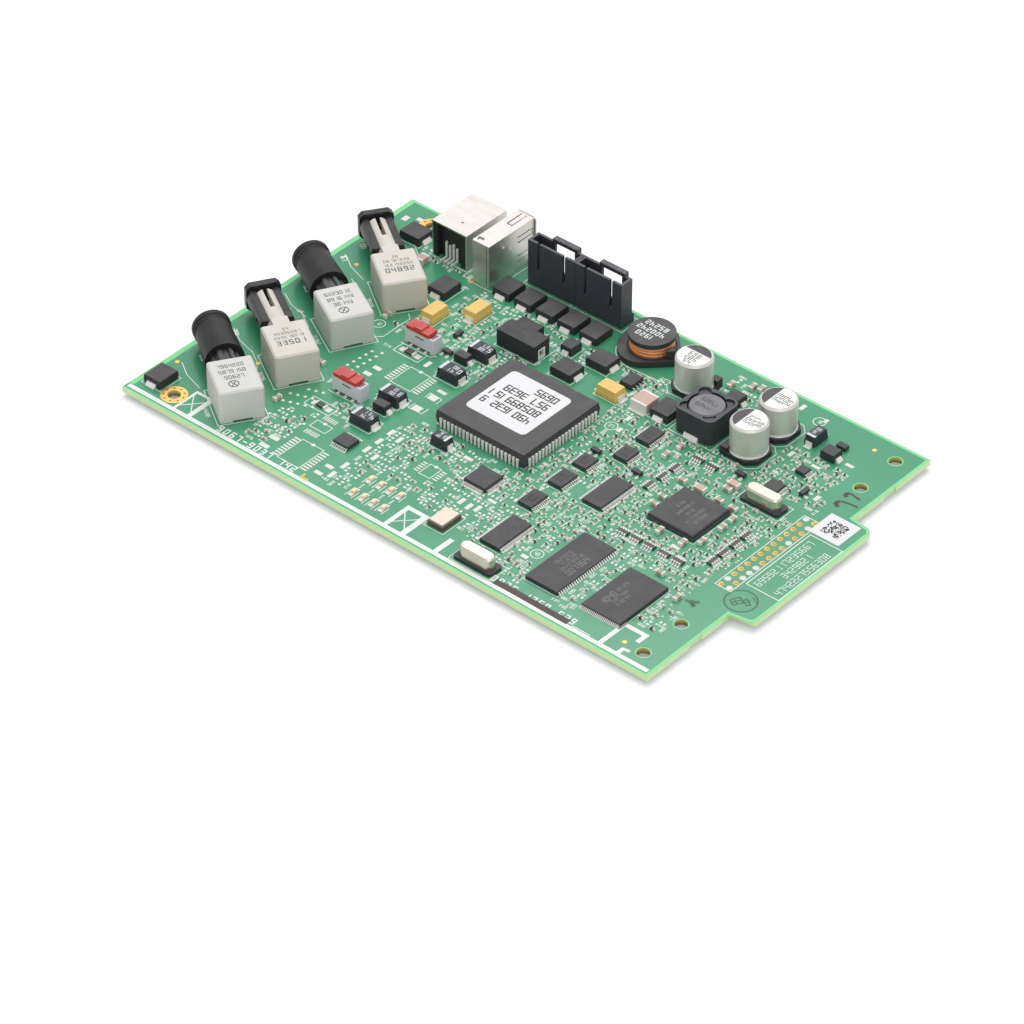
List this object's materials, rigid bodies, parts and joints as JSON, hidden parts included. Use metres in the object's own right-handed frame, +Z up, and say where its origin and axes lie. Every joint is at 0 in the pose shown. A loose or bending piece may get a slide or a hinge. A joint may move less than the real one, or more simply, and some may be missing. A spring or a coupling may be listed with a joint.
{
  "type": "fibre ethernet controller card",
  "caption": "Populated green circuit board with angled fibre-optic ports in dust caps, serial sockets, latching headers, slide switches, a socket-size processor, chips and capacitors.",
  "frame": {"origin": "centre of the first mounting hole, by the corner next to the first fibre port, at the board's underside", "axes": "+X along the board's long edge towards the tab, +Y along its short edge towards the serial sockets, +Z up out of the populated side"},
  "size_m": [0.1803, 0.1114, 0.0175],
  "materials": {
    "board": "green solder mask over glass laminate",
    "gold": "gold plated",
    "port_grey": "satin moulded",
    "port_beige": "satin moulded",
    "dark_plastic": "moulded",
    "cap_rubber": "smooth rubber",
    "cap_black": "moulded",
    "switch_grey": "moulded",
    "slider_red": "moulded",
    "tin": "tin plated",
    "shell_metal": "nickel plated, drawn",
    "header_black": "moulded",
    "chip_black": "fine matt moulding",
    "label_white": "matt paper",
    "copper": "enamelled copper wire",
    "ferrite": "sintered ferrite",
    "can_metal": "drawn",
    "tantalum_yellow": "moulded",
    "ceramic": "fired ceramic"
  },
  "bodies": {
    "card": {"circuit_board": "board", "hole_lands": "gold", "receiver_housing_1": "port_grey", "receiver_housing_2": "port_grey", "receiver_barrel_1": "dark_plastic", "receiver_barrel_2": "dark_plastic", "transmitter_housing_1": "port_beige", "transmitter_housing_2": "port_beige", "solder_tails": "tin", "switch_housing_1": "switch_grey", "switch_housing_2": "switch_grey", "switch_terminals": "tin", "square_socket_shell": "shell_metal", "square_socket_block": "dark_plastic", "square_socket_contacts": "gold", "flat_socket_shell": "shell_metal", "flat_socket_block": "dark_plastic", "header_housing_1": "header_black", "header_housing_2": "header_black", "header_pins": "gold", "processor_body": "chip_black", "processor_leads": "tin", "processor_label": "label_white", "memory_chip_body": "chip_black", "memory_chip_leads": "tin", "flash_chip_body": "chip_black", "flash_chip_leads": "tin", "controller_package": "chip_black", "bus_chip_bodies": "chip_black", "logic_chip_bodies": "chip_black", "quad_chip_body": "chip_black", "coil_base": "dark_plastic", "coil_core": "ferrite", "coil_winding": "copper", "inductor_shell": "ferrite", "inductor_core": "ferrite", "inductor_terminals": "tin", "capacitor_cans": "can_metal", "capacitor_bases": "dark_plastic", "yellow_tantalums": "tantalum_yellow", "black_tantalums": "chip_black", "tantalum_terminals": "tin", "surge_diode_bodies": "chip_black", "surge_diode_tabs": "tin", "fuse_block": "dark_plastic", "fuse_clip": "tin", "crystal_bases": "dark_plastic", "crystal_cans": "can_metal", "oscillator_body": "ceramic", "oscillator_lid": "shell_metal", "ceramic_capacitors": "ceramic", "chip_resistors": "chip_black", "code_sticker": "label_white"},
    "round_cap_1": {"round_dust_cap_1": "cap_rubber"},
    "round_cap_2": {"round_dust_cap_2": "cap_rubber"},
    "clip_cap_1": {"clip_dust_cap_1": "cap_black"},
    "clip_cap_2": {"clip_dust_cap_2": "cap_black"},
    "slider_1": {"switch_slider_1": "slider_red"},
    "slider_2": {"switch_slider_2": "slider_red"}
  },
  "joints": [
    {"name": "round_cap_1_pull", "type": "slide", "parent": "card", "child": "round_cap_1", "axis": [-0.8396, 0.5432, 0], "range_m": [0, 0.018]},
    {"name": "round_cap_2_pull", "type": "slide", "parent": "card", "child": "round_cap_2", "axis": [-0.8788, 0.4772, 0], "range_m": [0, 0.018]},
    {"name": "clip_cap_1_pull", "type": "slide", "parent": "card", "child": "clip_cap_1", "axis": [-0.8581, 0.5135, 0], "range_m": [0, 0.018]},
    {"name": "clip_cap_2_pull", "type": "slide", "parent": "card", "child": "clip_cap_2", "axis": [-0.8261, 0.5635, 0], "range_m": [0, 0.018]},
    {"name": "switch_1_slide", "type": "slide", "parent": "card", "child": "slider_1", "axis": [1, 0, 0], "range_m": [0, 0.00155]},
    {"name": "switch_2_slide", "type": "slide", "parent": "card", "child": "slider_2", "axis": [1, 0, 0], "range_m": [0, 0.00155]}
  ]
}
